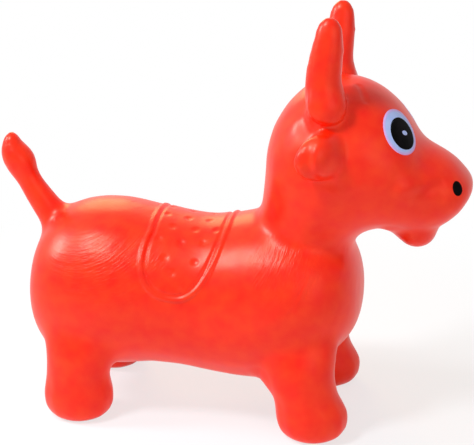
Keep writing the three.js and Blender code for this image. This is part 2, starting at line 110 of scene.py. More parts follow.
# The round ends of the horns and the tail: their middles and half sizes, in mm
ROUND_TIPS = [
    ((119, 63, 460), (14.8, 11.4, 21.9)),
    ((119, -63, 460), (14.8, 11.4, 21.9)),
    ((-263.5, 0, 314.6), (9, 10.5, 9.2)),
]
TIP_SUBDIVISIONS = 4

# The saddle's edge in side view, from the top of its rear edge round to the top of its front edge, in mm
SADDLE_REAR_CURVE = [(-87, 228), (-97, 200), (-90, 158), (-45, 158)]
SADDLE_FRONT_CURVE = [(-45, 158), (-18, 158), (-1, 192), (8, 232)]
CURVE_POINTS = 24
SADDLE_TOP = 300
BAND_HEIGHT = 2.1
BAND_RISE, BAND_FALL = (-0.5, 3), (4.5, 8)  # the sides of the raised band, in from the edge
PANEL_HEIGHT = 1.6
PANEL_RISE = (8.5, 12)
DIMPLE_RADIUS = 6.5
DIMPLE_SIDE = (0.1, 1)  # from its middle, as shares of its radius
DIMPLE_DEPTH = 1
DIMPLES = [  # x, and the way round the torso from its top
    (-72, 13), (-46, 13), (-20, 13), (-60, 35), (-33, 35), (-8, 35), (-72, 57), (-46, 58), (-20, 55),
    (-61, 80), (-26, 82), (-51, 97), (-37, 114),
]
TORSO_AXIS_HEIGHT = 140
TORSO_RADIUS = 97

# Folds of the head's right side, mirrored on the left: a line of points, its width and its height, in mm
FOLDS = [
    ([(206, -68, 294.5), (226, -54.5, 297.5), (242, -45, 304)], 8, -0.5),  # the corner of the mouth
    ([(202, -70, 300), (224, -53, 305), (240, -42, 311)], 12, 0.9),  # the lip above it
    ([(226, -56, 287), (234, -52, 288)], 13, 1.2),  # the lip below it
    ([(209, -64, 302), (224, -53, 306)], 24, 2.8),  # the cheek beside the muzzle
    ([(190, -34, 243), (194, 0, 232)], 17, 2.5),  # the throat, where the chin begins
    ([(149, -24, 402), (158, -43, 389.5)], 6, -0.8),  # the wrinkle before each horn
    ([(142, -30, 402), (147, -46, 391)], 10, 0.7),  # the ridge behind that wrinkle
    ([(112, -86, 310), (129, -84, 307)], 10, -2.5),  # under the ear
    ([(58, 0, 330), (80, 0, 386)], 70, -2.2),  # the back of the head
]

# Each ear's rounded front in side view, the lobe behind it, and how far they are moved outwards, in mm
EAR_DOME_MIDDLE, EAR_DOME_HALVES, EAR_DOME_RISE = (124, 342), (17, 28), 9
EAR_LOBE_BACK, EAR_LOBE_RISE = (-108, -90), -1.5
EAR_OUTER_SIDE = (76, 88)
EAR_BOTTOM, EAR_TOP = (300, 315), (372, 380)
EAR_FACING = (0, 0.35)  # how squarely the skin there faces sideways

# The lower edge of each horn's bulging root in side view, and where the bulge rises and ends, in mm
HORN_ROOT_EDGE = [
    (97, 425), (98, 392), (100, 382), (104, 376), (111, 371.5), (118, 369), (125, 368.7), (131, 369.7),
    (136, 373), (139, 384), (138, 399), (138, 425),
]
HORN_ROOT_HEIGHT = 6
HORN_ROOT_RISE = (-1, 5.5)  # in from its edge
HORN_ROOT_SIDE = (44, 58)
HORN_ROOT_TOP = (386, 412)

# The slight lumps of a soft moulding: their widths and heights, in mm
LUMPS = [(38, 0.3), (13, 0.12)]

# Hair-like strokes moulded into the flanks: they run round these middles, x and z in mm
STROKE_MIDDLES = [(-178, 290), (-86, 266)]
STROKE_PATCHES = [(-124, 190, 88, 54), (78, 198, 52, 54)]  # x, z and half sizes of each patch
STROKE_FADE = (0.45, 1)  # from a patch's middle, as shares of its half sizes
STROKE_WIDTH, STROKE_LENGTH = 4, 32  # of the broad strokes, which the mesh carries, in mm
STROKE_HEIGHT = 0.26

# The web of skin behind each front leg, on the right side and mirrored on the left, in mm
LEG_WEB_MIDDLE, LEG_WEB_RADIUS, LEG_WEB_HEIGHT = (56, -68, 63), 26, 7

# The printed marks: their CAD nodes, turns, heights off the skin in mm, inks, and sizes against the CAD's
EYE_TURN = (28, 28)  # degrees that each eye is turned ahead and up from facing sideways
NOSTRIL_TURN = (35, 12)
FACE_MARKS = [
    ("eye_white", EYE_TURN, 0.25, "pale_ink", (1, 1)),
    ("pupil", EYE_TURN, 0.4, "black_ink", (1.18, 1.08)),
    ("eye_glint", EYE_TURN, 0.55, "pale_ink", (1.15, 0.78)),
    ("nostril", NOSTRIL_TURN, 0.3, "black_ink", (1.12, 0.92)),
]
MARK_SINK = 0.3  # how far a film of ink reaches into the skin, in mm
MARK_EDGE = 0.6  # the share of its height that it loses towards its rim
MARK_EDGE_POWER = 12  # the higher, the nearer to the rim that is
MARK_RINGS = 10
MARK_SPOKES = 56
MARK_CLEARANCE = 0.05  # metres from a mark to where the rays to the skin start

# The air plug's outline, radius and height in mm: its dished flange, one of its barbs and its end
PLUG_RADIUS = 11
PLUG_FLANGE = [
    (0, 0.7), (6.5, 0.5), (8, 0), (10.2, 0), (10.8, 0.3), (11, 0.9), (11, 2.0), (10.7, 2.4), (5.2, 2.4),
]
PLUG_BARB = [(5.2, 4.4), (6.3, 5.0), (6.3, 5.8), (5.2, 7.4)]
PLUG_BARBS, PLUG_BARB_SPACING = 3, 5
PLUG_END = [(5.2, 19.4), (4.6, 20.8), (3.7, 21.4), (0, 21.4)]
PLUG_SPOKES = 56
PLUG_SHARP_EDGE = 40  # degrees
PLUG_WELD = 0.01  # mm

# Finishes. Colours are linear, each pair the two ends of a cloudy tint. Noise scales are per metre.
# A bump is its strength and its depth in metres.
SKIN_TINTS = [(0.93, 0.007, 0.001), (0.97, 0.03, 0.002)]
SKIN_TINT_SPAN = (0.30, 0.70)
SKIN_CLOUDS, SKIN_CLOUD_DETAIL = 55, 8
SKIN_ROUGHNESS = (0.32, 0.4)
SKIN_SPECULAR = 0.45
SKIN_SPECULAR_TINT = (1, 0.78, 0.6, 1)
FINE_STROKES = (0.55, 0.08, 0)  # across and along the strokes, per mm
FINE_STROKE_BUMP = (0.42, 0.0013)
PORES, PORE_BUMP = 700, (0.12, 0.0003)
FINE_DETAIL = 2
INK_TINT_SPAN = (0.35, 0.65)
INK_CLOUD_DETAIL = 3
INK_ROUGHNESS, INK_SPECULAR = 0.45, 0.15
BLACK_INK_ROUGHNESS, BLACK_INK_SPECULAR = 0.6, 0.03
PALE_INK_TINTS, PALE_INK_CLOUDS = [(0.42, 0.54, 0.95), (0.50, 0.60, 0.97)], 90
PALE_INK_RIM = (0.72, 0.40, 0.78, 1)
PALE_INK_RIM_SPAN = (0.84, 0.98)  # from a mark's middle, as shares of its size
BLACK_INK_TINTS, BLACK_INK_CLOUDS = [(0.001, 0.001, 0.001), (0.004, 0.003, 0.004)], 120
PLUG_TINTS, PLUG_CLOUDS = [(0.80, 0.78, 0.70), (0.87, 0.85, 0.78)], 60
PLUG_GRAIN, PLUG_GRAIN_BUMP = 900, (0.15, 0.0002)

# Lamps: their names, places and widths in metres, watts and colours
LAMPS = [
    ("key", (-0.72, -0.7, 1.6), 0.36, 20, (0.84, 0.93, 1)),
    ("left", (-1.6, -0.25, 1.15), 0.42, 20, (0.88, 0.92, 1)),
    ("back", (-0.7, 1.4, 1.2), 0.9, 12, (1, 0.6, 0.25)),
    ("front", (1.1, -1.5, 0.9), 1.4, 6, (1, 0.92, 0.84)),
]
WHITE = (1, 1, 1, 1)
WORLD_STRENGTH = 0.35

# The floor: it is lit and takes the shadow, and glows white to the rays that see it, less so under the toy
FLOOR_HALF_WIDTH = 6  # metres
FLOOR_DROP = 0.2  # mm
FLOOR_COLOUR = (0.92, 0.92, 0.92, 1)
FLOOR_ROUGHNESS = 0.9
FLOOR_GLOW = {"From Min": 0.25, "From Max": 0.75, "To Min": 0.7, "To Max": 1}  # metres away, and its share

joints = {joint["name"]: joint for joint in frame["joints"]}


# Small tools


def step(value, low, high):
    """0 below low, 1 above high and a smooth rise between."""
    t = np.clip((value - low) / (high - low), 0, 1)
    return t * t * (3 - 2 * t)


def distance_to(here, a, b):
    """How far each point lies from the line between a and b."""
    along = np.clip((here - a) @ (b - a) / ((b - a) @ (b - a)), 0, 1)
    return np.linalg.norm(here - (a + along[:, None] * (b - a)), axis=1)


def mirrored(points):
    return points * (1, -1, 1)


def add_object(name, mesh):
    obj = bpy.data.objects.new(name, mesh)
    bpy.context.scene.collection.objects.link(obj)
    return obj


def points_of(mesh):
    points = np.zeros(len(mesh.vertices) * 3, np.float32)
    mesh.vertices.foreach_get("co", points)
    return points.reshape(-1, 3).astype(float)


def set_points(mesh, points):
    mesh.vertices.foreach_set("co", points.astype(np.float32).ravel())
    mesh.update()


def normals_of(mesh):
    normals = np.zeros(len(mesh.vertices) * 3, np.float32)
    mesh.vertex_normals.foreach_get("vector", normals)
    return normals.reshape(-1, 3).astype(float)


def with_modifier(mesh, kind, **settings):
    """A new mesh: the old one with one modifier applied. The old one is deleted."""
    obj = add_object("blank", mesh)
    modifier = obj.modifiers.new("form", kind)
    for name, value in settings.items():
        setattr(modifier, name, value)
    graph = bpy.context.evaluated_depsgraph_get()
    made = bpy.data.meshes.new_from_object(obj.evaluated_get(graph))
    bpy.data.objects.remove(obj)
    bpy.data.meshes.remove(mesh)
    return made


class Neighbours:
    """The edges of a mesh, for averaging a value over each point's neighbours."""

    def __init__(self, mesh):
        edges = np.zeros(len(mesh.edges) * 2, np.int32)
        mesh.edges.foreach_get("vertices", edges)
        self.a, self.b = edges.reshape(-1, 2).T
        self.count = len(mesh.vertices)
        self.valence = np.bincount(edges, minlength=self.count)
        points = points_of(mesh)
        self.spacing = np.linalg.norm(points[self.a] - points[self.b], axis=1).mean()

    def mean(self, values):
        total = np.empty_like(values)
        for axis in range(values.shape[1]):
            column = values[:, axis]
            total[:, axis] = np.bincount(self.a, column[self.b], self.count)
            total[:, axis] += np.bincount(self.b, column[self.a], self.count)
        return total / self.valence[:, None]

    def blurred(self, values, reach):
        """values spread over reach, a distance for each point, in metres."""
        most = reach.max()
        spread = BLUR_SHARE / 2 * self.spacing**2  # the square of how far one pass spreads a value
        passes = math.ceil(most**2 / spread)
        share = (BLUR_SHARE * (reach / most) ** 2)[:, None]
        for _ in range(passes):
            values = values + share * (self.mean(values) - values)
        return values


# The skin as one smooth form


def from_horns(x, y):
    """How far each point lies from the nearer horn's place, seen from above, in mm."""
    return np.hypot(x - HORN_PLACE[0], np.abs(y) - HORN_PLACE[1])


def near_horns(x, y, z):
    return (1 - step(from_horns(x, y), *HORN_ROUND)) * step(z, *HORN_FLOOR)


def near_ears(y, z):
    return step(np.abs(y), *EAR_SIDE) * step(z, *EAR_FLOOR)


def along_tail(x, z):
    """How far each point lies along the tail from its joint, in mm."""
    root = Vector(joints["tail_bend"]["pos_m"]) / MM
    return TAIL_AXIS.x * (x - root.x) + TAIL_AXIS.z * (z - root.z)


def smoothing_reach(points):
    """How far the skin is smoothed at each point: broad on the torso and head, fine on the limbs."""
    x, y, z = points.T / MM
    tail = step(-x, *TAIL_BACK) * step(z, *TAIL_FLOOR)
    feet = 1 - step(z, *FOOT_TOP)
    limbs = np.maximum.reduce([near_horns(x, y, z), near_ears(y, z), tail, feet])
    broad = BROAD_SMOOTHING + (MUZZLE_SMOOTHING - BROAD_SMOOTHING) * step(x, *MUZZLE_START)
    return (broad + (FINE_SMOOTHING - broad) * limbs) * MM


def crease_filling(points):
    """How far creases are filled: not on the horns, ears and muzzle, by the rear legs or at the tail."""
    x, y, z = points.T / MM
    behind, height = REAR_LEG_CREASES
    filled = (1 - near_horns(x, y, z)) * (1 - near_ears(y, z)) * (1 - step(x, *MUZZLE_CREASES))
    filled *= 1 - step(-x, *behind) * (1 - step(z, *height))
    return filled * (1 - step(-x, *TAIL_CREASES))


def stop_bore(bm):
    """Fills the valve's bore, so that the skin's outside is closed."""
    low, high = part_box("valve_seat")
    radius = BORE_STOP_SHARE * (high.x - low.x)
    centre = (low + high) / 2
    bmesh.ops.create_cone(
        bm, cap_ends=True, segments=BORE_STOP_SIDES, radius1=radius, radius2=radius,
        depth=high.z - low.z, matrix=Matrix.Translation(centre),
    )


def round_tips(bm):
    for middle, halves in ROUND_TIPS:
        place = Matrix.Translation(Vector(middle) * MM) @ Matrix.Diagonal((*halves, 1))
        bmesh.ops.create_icosphere(bm, subdivisions=TIP_SUBDIVISIONS, radius=MM, matrix=place)


def skin_nodes():
    slots = {part["node"]: part["material_slot"] for part in frame["record"]["subparts"]}
    apart = ("valve_seat", "saddle_panel")
    return sorted(node for node in slots if slots[node] == "skin_pvc" and node not in apart)


def outer_island(mesh):
    """Deletes all but the island of faces that holds the highest point."""
    bm = bmesh.new()
    bm.from_mesh(mesh)
    top = max(bm.verts, key=lambda v: v.co.z)
    kept = {top}
    waiting = [top]
    while waiting:
        for edge in waiting.pop().link_edges:
            for vert in edge.verts:
                if vert not in kept:
                    kept.add(vert)
                    waiting.append(vert)
    bmesh.ops.delete(bm, geom=[v for v in bm.verts if v not in kept], context="VERTS")
    bm.to_mesh(mesh)
    bm.free()


def fill_creases(mesh, near):
    filled = crease_filling(points_of(mesh))
    for _ in range(CREASE_PASSES):
        points = points_of(mesh)
        normals = normals_of(mesh)
        towards = near.mean(points) - points
        hollow = np.maximum(0, (towards * normals).sum(1) - CREASE_KEPT * VOXEL * MM)
        set_points(mesh, points + (filled * hollow)[:, None] * normals)


def smooth_skin():
    """One mesh for the whole skin, with the facets and the cuts between its solids smoothed away."""
    bm = bmesh.new()
    for node in skin_nodes():
        bm.from_mesh(frame["nodes"][node].data)
    stop_bore(bm)
    round_tips(bm)
    mesh = bpy.data.meshes.new("skin")
    bm.to_mesh(mesh)
    bm.free()
    mesh = with_modifier(mesh, "REMESH", mode="VOXEL", voxel_size=VOXEL * MM)
    outer_island(mesh)
    points = points_of(mesh)
    near = Neighbours(mesh)
    reach = smoothing_reach(points)
    once = near.blurred(points, reach)
    points = once + near.blurred(points - once, reach)  # the second pass gives back what the first one shrank
    set_points(mesh, points)
    fill_creases(mesh, near)
    points = points_of(mesh)
    points[:, 2] = np.where(points[:, 2] < SOLE_HEIGHT * MM, 0, points[:, 2])
    set_points(mesh, points)
    return with_modifier(mesh, "SUBSURF", levels=1)


# Relief on the skin: heights in millimetres, for points in millimetres


def bezier(points):
    a, b, c, d = np.array(points, float)
    t = np.linspace(0, 1, CURVE_POINTS)[:, None]
    return (1 - t) ** 3 * a + 3 * (1 - t) ** 2 * t * b + 3 * (1 - t) * t**2 * c + t**3 * d


def saddle_edge():
    rear = bezier(SADDLE_REAR_CURVE)
    front = bezier(SADDLE_FRONT_CURVE)
    over_rear = [(rear[0][0], SADDLE_TOP)]
    over_front = [(front[-1][0], SADDLE_TOP)]
    return np.vstack([over_rear, rear, front[1:], over_front])


def inset_from(edge, x, z):
    """How far each point lies inside an edge that is open at its top, in side view. Below 0 is outside."""
    here = np.stack([x, z], 1)
    nearest = np.full(len(x), FAR)
    for a, b in zip(edge, edge[1:]):
        nearest = np.minimum(nearest, distance_to(here, a, b))
    inside = np.zeros(len(x), bool)
    for a, b in zip(edge, np.roll(edge, -1, axis=0)):
        crosses = (a[1] > z) != (b[1] > z)
        if a[1] != b[1]:
            inside ^= crosses & (x < a[0] + (z - a[1]) / (b[1] - a[1]) * (b[0] - a[0]))
    return np.where(inside, nearest, -nearest)


def saddle_relief(x, y, z):
    inset = inset_from(saddle_edge(), x, z)
    band = step(inset, *BAND_RISE) * (1 - step(inset, *BAND_FALL))
    panel = step(inset, *PANEL_RISE)
    height = BAND_HEIGHT * band + PANEL_HEIGHT * panel
    girth = np.arctan2(np.abs(y), z - TORSO_AXIS_HEIGHT) * TORSO_RADIUS
    for middle_x, middle_girth in DIMPLES:
        away = np.hypot(x - middle_x, girth - middle_girth) / DIMPLE_RADIUS
        height = height - DIMPLE_DEPTH * panel * (1 - step(away, *DIMPLE_SIDE))
    return height


def horn_root_relief(x, y, z):
    inset = inset_from(np.array(HORN_ROOT_EDGE, float), x, z)
    outside = step(np.abs(y), *HORN_ROOT_SIDE) * (1 - step(z, *HORN_ROOT_TOP))
    return HORN_ROOT_HEIGHT * step(inset, *HORN_ROOT_RISE) * outside


def fold(line, points, width):
    """1 along a line on both sides of the head, falling to 0 at its width."""
    nearest = np.full(len(points), FAR)
    for a, b in zip(np.array(line, float), np.array(line[1:], float)):
        for here in (points, mirrored(points)):
            nearest = np.minimum(nearest, distance_to(here, a, b))
    return 1 - step(nearest, 0, width)


def leg_web(points):
    away = np.linalg.norm(mirrored(points) - LEG_WEB_MIDDLE, axis=1)
    away = np.minimum(away, np.linalg.norm(points - LEG_WEB_MIDDLE, axis=1))
    return LEG_WEB_HEIGHT * (1 - step(away, 0, LEG_WEB_RADIUS))


def unevenness(points):
    height = np.zeros(len(points))
    for width, rise in LUMPS:
        height += rise * np.array([noise.noise(Vector(p) / width) for p in points])
    return height


def relief(points):
    x, y, z = points.T
    height = saddle_relief(x, y, z) + horn_root_relief(x, y, z) + unevenness(points)
    for line, width, rise in FOLDS:
        height += rise * fold(line, points, width)
    return height + leg_web(points)


def stroke_field(points):
    """For each point: the way across and along the moulded strokes, in mm, and how deep they are."""
    x, _, z = points.T
    field = np.zeros((len(x), 3))
    for (mid_x, mid_z), (patch_x, patch_z, half_x, half_z) in zip(STROKE_MIDDLES, STROKE_PATCHES):
        depth = 1 - step(np.hypot((x - patch_x) / half_x, (z - patch_z) / half_z), *STROKE_FADE)
        here = depth > 0
        radius = np.hypot(x - mid_x, z - mid_z)
        along = np.arctan2(z - mid_z, x - mid_x) * radius
        field[here] = np.stack([radius, along, depth], 1)[here]
    return field


def stroke_relief(field):
    """The broad strokes. The material has the fine ones between them."""
    height = np.zeros(len(field))
    for i in np.flatnonzero(field[:, 2]):
        across, along, depth = field[i]
        height[i] = depth * noise.noise(Vector((across / STROKE_WIDTH, along / STROKE_LENGTH, 0)))
    return STROKE_HEIGHT * height


def ear_shift(points, normals):
    """How far each point of the ears moves along y: a round dome in front goes out, the lobe behind it in."""
    x, y, z = points.T
    (mid_x, mid_z), (half_x, half_z) = EAR_DOME_MIDDLE, EAR_DOME_HALVES
    inside = 1 - ((x - mid_x) / half_x) ** 2 - ((z - mid_z) / half_z) ** 2
    rise = EAR_DOME_RISE * np.sqrt(np.maximum(0, inside)) + EAR_LOBE_RISE * step(-x, *EAR_LOBE_BACK)
    outer = step(np.abs(y), *EAR_OUTER_SIDE) * step(z, *EAR_BOTTOM) * (1 - step(z, *EAR_TOP))
    facing = step(normals[:, 1] * np.sign(y), *EAR_FACING)
    return np.sign(y) * facing * outer * rise


def detailed_skin():
    mesh = smooth_skin()
    start = points_of(mesh)
    points = start / MM
    normals = normals_of(mesh)
    field = stroke_field(points)
    height = relief(points) + stroke_relief(field)
    shaped = start + normals * (height * MM)[:, None]
    shaped[:, 1] += ear_shift(points, normals) * MM
    _, y, z = points.T
    ears = near_ears(y, z)[:, None]
    near = Neighbours(mesh)
    for _ in range(EAR_PASSES):
        shaped += EAR_PASS_SHARE * ears * (near.mean(shaped) - shaped)
    set_points(mesh, shaped)
    strokes = mesh.attributes.new("strokes", "FLOAT_VECTOR", "POINT")
    strokes.data.foreach_set("vector", field.astype(np.float32).ravel())
    return mesh


# Materials


def new_material(name):
    material = bpy.data.materials.new(name)
    material.use_nodes = True
    nodes = material.node_tree.nodes
    return material, nodes, material.node_tree.links, nodes["Principled BSDF"]


def noise_texture(nodes, scale, detail):
    texture = nodes.new("ShaderNodeTexNoise")
    texture.inputs["Scale"].default_value = scale
    texture.inputs["Detail"].default_value = detail
    return texture


def ramp(nodes, span, colours):
    made = nodes.new("ShaderNodeValToRGB")
    for element, position, colour in zip(made.color_ramp.elements, span, colours):
        element.position = position
        element.color = (*colour, 1)
    return made


def bump(nodes, strength, distance):
    made = nodes.new("ShaderNodeBump")
    made.inputs["Strength"].default_value = strength
    made.inputs["Distance"].default_value = distance
    return made


def math_node(nodes, operation):
    made = nodes.new("ShaderNodeMath")
    made.operation = operation
    return made


def cloudy_material(name, tints, span, scale, detail):
    """A material with clouds in its colour, and the parts of it that finishes are added to."""
    material, nodes, links, shader = new_material(name)
    place = nodes.new("ShaderNodeTexCoord")
    cloud = noise_texture(nodes, scale, detail)
    tint = ramp(nodes, span, tints)
    links.new(place.outputs["Object"], cloud.inputs["Vector"])
    links.new(cloud.outputs["Fac"], tint.inputs["Fac"])
    links.new(tint.outputs["Color"], shader.inputs["Base Color"])
    return material, nodes, links, shader, place, cloud, tint


def fine_strokes(nodes, links):
    """A bump of fine strokes, laid out by the skin's own field."""
    field = nodes.new("ShaderNodeAttribute")
    field.attribute_name = "strokes"
    parts = nodes.new("ShaderNodeSeparateXYZ")
    links.new(field.outputs["Vector"], parts.inputs["Vector"])
    stretch = nodes.new("ShaderNodeMapping")
    stretch.inputs["Scale"].default_value = FINE_STROKES
    links.new(field.outputs["Vector"], stretch.inputs["Vector"])
    hair = noise_texture(nodes, 1, FINE_DETAIL)
    links.new(stretch.outputs["Vector"], hair.inputs["Vector"])
    combed = math_node(nodes, "MULTIPLY")
    links.new(hair.outputs["Fac"], combed.inputs[0])
    links.new(parts.outputs["Z"], combed.inputs[1])
    strokes = bump(nodes, *FINE_STROKE_BUMP)
    links.new(combed.outputs["Value"], strokes.inputs["Height"])
    return strokes


def skin_material():
    """Soft PVC: orange-red, with clouds in its colour, a satin gloss, fine strokes and pores."""
    material, nodes, links, shader, place, cloud, _ = cloudy_material(
        "soft_pvc", SKIN_TINTS, SKIN_TINT_SPAN, SKIN_CLOUDS, SKIN_CLOUD_DETAIL
    )
    gloss = nodes.new("ShaderNodeMapRange")
    gloss.inputs["To Min"].default_value, gloss.inputs["To Max"].default_value = SKIN_ROUGHNESS
    links.new(cloud.outputs["Fac"], gloss.inputs["Value"])
    links.new(gloss.outputs["Result"], shader.inputs["Roughness"])
    shader.inputs["Specular IOR Level"].default_value = SKIN_SPECULAR
    shader.inputs["Specular Tint"].default_value = SKIN_SPECULAR_TINT
    strokes = fine_strokes(nodes, links)
    grain = noise_texture(nodes, PORES, FINE_DETAIL)
    links.new(place.outputs["Object"], grain.inputs["Vector"])
    pores = bump(nodes, *PORE_BUMP)
    links.new(grain.outputs["Fac"], pores.inputs["Height"])
    links.new(strokes.outputs["Normal"], pores.inputs["Normal"])
    links.new(pores.outputs["Normal"], shader.inputs["Normal"])
    return material


def ink_material(name, tints, scale, roughness=INK_ROUGHNESS, specular=INK_SPECULAR):
    """Printed ink or plain plastic, a little uneven in its colour."""
    material, nodes, links, shader, _, _, tint = cloudy_material(
        name, tints, INK_TINT_SPAN, scale, INK_CLOUD_DETAIL
    )
    shader.inputs["Roughness"].default_value = roughness
    shader.inputs["Specular IOR Level"].default_value = specular
    return material, nodes, links, shader, tint


def pale_ink_material():
    """Pale blue-white ink with a lilac edge where the red skin shows through."""
    material, nodes, links, shader, tint = ink_material("pale_ink", PALE_INK_TINTS, PALE_INK_CLOUDS)
    rim = nodes.new("ShaderNodeAttribute")
    rim.attribute_name = "rim"
    edge = nodes.new("ShaderNodeMapRange")
    edge.inputs["From Min"].default_value, edge.inputs["From Max"].default_value = PALE_INK_RIM_SPAN
    mix = nodes.new("ShaderNodeMix")
    mix.data_type = "RGBA"
    mix.inputs["B"].default_value = PALE_INK_RIM
    links.new(rim.outputs["Fac"], edge.inputs["Value"])
    links.new(edge.outputs["Result"], mix.inputs["Factor"])
    links.new(tint.outputs["Color"], mix.inputs["A"])
    links.new(mix.outputs["Result"], shader.inputs["Base Color"])
    return material


def black_ink_material():
    material, *_ = ink_material(
        "black_ink", BLACK_INK_TINTS, BLACK_INK_CLOUDS, BLACK_INK_ROUGHNESS, BLACK_INK_SPECULAR
    )
    return material


def plug_material():
    material, nodes, links, shader, _ = ink_material("plug_plastic", PLUG_TINTS, PLUG_CLOUDS)
    grain = noise_texture(nodes, PLUG_GRAIN, FINE_DETAIL)
    fine = bump(nodes, *PLUG_GRAIN_BUMP)
    links.new(grain.outputs["Fac"], fine.inputs["Height"])
    links.new(fine.outputs["Normal"], shader.inputs["Normal"])
    return material


# Pieces of the skin


def part_of_each_face(mesh):
    """The name of the piece that each face belongs to."""
    centres = np.zeros(len(mesh.polygons) * 3, np.float32)
    mesh.polygons.foreach_get("center", centres)
    x, y, z = centres.reshape(-1, 3).T / MM
    above = HORN_AXIS.y * np.abs(y) + HORN_AXIS.z * z > HORN_SEAM
    horn = above & (from_horns(x, y) < HORN_REACH) & (z > HORN_LOWEST)
    part = np.full(len(x), "body", dtype="U10")
    part[horn & (y > 0)] = "horn_left"
    part[horn & (y < 0)] = "horn_right"
    part[(along_tail(x, z) > TAIL_SEAM) & (x < TAIL_FRONT)] = "tail"
    return part


def cap_ends(mesh, depth):
    """Closes each opening where a piece was cut from the next one with a cone, outwards by a depth in mm."""
    bm = bmesh.new()
    bm.from_mesh(mesh)
    waiting = {edge for edge in bm.edges if edge.is_boundary}
    while waiting:
        ends = [waiting.pop()]
        for edge in ends:
            beside = {near for vert in edge.verts for near in vert.link_edges} & waiting
            waiting -= beside
            ends += beside
        sides = [(edge.link_loops[0].link_loop_next.vert, edge.link_loops[0].vert) for edge in ends]
        middle = sum((a.co for a, _ in sides), Vector()) / len(sides)
        outward = sum(((a.co - middle).cross(b.co - middle) for a, b in sides), Vector()).normalized()
        point = bm.verts.new(middle + outward * depth * MM)
        for a, b in sides:
            bm.faces.new((a, b, point))
    bm.to_mesh(mesh)
    bm.free()


def divided(mesh, material):
    """The skin as separate pieces that share the whole skin's shading, so that no seam shows."""
    part = part_of_each_face(mesh)
    points = points_of(mesh)
    normals = normals_of(mesh)
    corners = np.zeros(len(mesh.loops), np.int32)
    mesh.loops.foreach_get("vertex_index", corners)
    quads = corners.reshape(-1, 4)
    strokes = np.zeros(len(points) * 3, np.float32)
    mesh.attributes["strokes"].data.foreach_get("vector", strokes)
    strokes = strokes.reshape(-1, 3)
    pieces = {}
    for name in sorted(set(part)):
        faces = quads[part == name]
        used, compact = np.unique(faces, return_inverse=True)
        piece = bpy.data.meshes.new(f"{name}_skin")
        piece.from_pydata(points[used].tolist(), [], compact.reshape(-1, 4).tolist())
        cap_ends(piece, BODY_CAP if name == "body" else LIMB_CAP)
        piece.shade_smooth()
        cone_tips = len(piece.vertices) - len(used)
        no_strokes = np.zeros((cone_tips, 3), np.float32)
        field = piece.attributes.new("strokes", "FLOAT_VECTOR", "POINT")
        field.data.foreach_set("vector", np.vstack([strokes[used], no_strokes]).ravel())
        piece.normals_split_custom_set_from_vertices(normals[used].tolist() + [(0, 0, 1)] * cone_tips)
        piece.materials.append(material)
        pieces[name] = add_object(f"{name}_skin_soft", piece)
    bpy.data.meshes.remove(mesh)
    return pieces


def join_to_bodies(pieces):
    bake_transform(pieces["body"])
    fixed = [node for node in skin_nodes() if node not in ("horn_left", "horn_right", "tail")]
    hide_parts(*fixed, "saddle_panel", "valve_seat")
    for side in ("left", "right"):
        horn = pieces[f"horn_{side}"]
        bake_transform(horn)
        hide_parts(f"horn_{side}")
    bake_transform(pieces["tail"])
    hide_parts("tail")


# The printed face


def facing_axes(turn, side):
    """The forward, upward and outward directions of a mark on one side of the head."""
    ahead, up = (math.radians(angle) for angle in turn)
    forward = Vector((math.cos(ahead), -side * math.sin(ahead), 0))
    outward = Vector((math.sin(ahead) * math.cos(up), side * math.cos(ahead) * math.cos(up), math.sin(up)))
    return forward, outward.cross(forward) * side, outward


def film_layers(film, node, turn, lift, fit, skin):
    """The points of a film of ink, its top and then its underside, as rings from its middle to its rim."""
    side = 1 if node.endswith("left") else -1
    forward, upward, outward = facing_axes(turn, side)
    marks = [v.co for v in frame["nodes"][node].data.vertices]
    places = [[axis.dot(p) for p in marks] for axis in (forward, upward)]
    spans = [(min(at), max(at)) for at in places]
    middles = [(low + high) / 2 for low, high in spans]
    halves = [(high - low) / 2 * share for (low, high), share in zip(spans, fit)]
    clear = max(outward.dot(p) for p in marks) + MARK_CLEARANCE
    start = forward * middles[0] + upward * middles[1] + outward * clear
    rim = film.verts.layers.float.new("rim")
    layers = []
    for is_top in (True, False):
        rings = []
        for ring in range(MARK_RINGS + 1):
            share = ring / MARK_RINGS
            height = lift * (1 - MARK_EDGE * share**MARK_EDGE_POWER) if is_top else -MARK_SINK
            verts = []
            for spoke in range(MARK_SPOKES if ring else 1):
                angle = 2 * math.pi * spoke / MARK_SPOKES
                across = forward * (halves[0] * share * math.cos(angle))
                across += upward * (halves[1] * share * math.sin(angle))
                spot, normal, _, _ = skin.ray_cast(start + across, -outward)
                vert = film.verts.new(spot + normal * height * MM)
                vert[rim] = share
                verts.append(vert)
            rings.append(verts)
        layers.append(rings)
    return layers


def printed_mark(node, turn, lift, fit, skin, material):
    """A film of ink on the skin over a CAD mark: an oval that follows the skin and thins out at its rim."""
    film = bmesh.new()
    layers = film_layers(film, node, turn, lift, fit, skin)
    for rings, order in zip(layers, (1, -1)):
        for inner, outer in zip(rings, rings[1:]):
            for i in range(MARK_SPOKES):
                j = (i + 1) % MARK_SPOKES
                corners = [inner[i % len(inner)], outer[i], outer[j]]
                if len(inner) > 1:
                    corners.append(inner[j])
                film.faces.new(corners[::order])
    top_edge, low_edge = layers[0][-1], layers[1][-1]
    for i in range(MARK_SPOKES):
        j = (i + 1) % MARK_SPOKES
        film.faces.new([top_edge[j], top_edge[i], low_edge[i], low_edge[j]])
    bmesh.ops.recalc_face_normals(film, faces=film.faces)
    mesh = bpy.data.meshes.new(f"{node}_ink")
    film.to_mesh(mesh)
    film.free()
    mesh.shade_smooth()
    mesh.materials.append(material)
    piece = add_object(f"{node}_ink", mesh)
    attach(piece, "head")
    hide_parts(node)


def print_face(skin):
    inks = {"pale_ink": pale_ink_material(), "black_ink": black_ink_material()}
    for side in ("left", "right"):
        for mark, turn, lift, slot, fit in FACE_MARKS:
            printed_mark(f"{mark}_{side}", turn, lift, fit, skin, inks[slot])


# The air plug


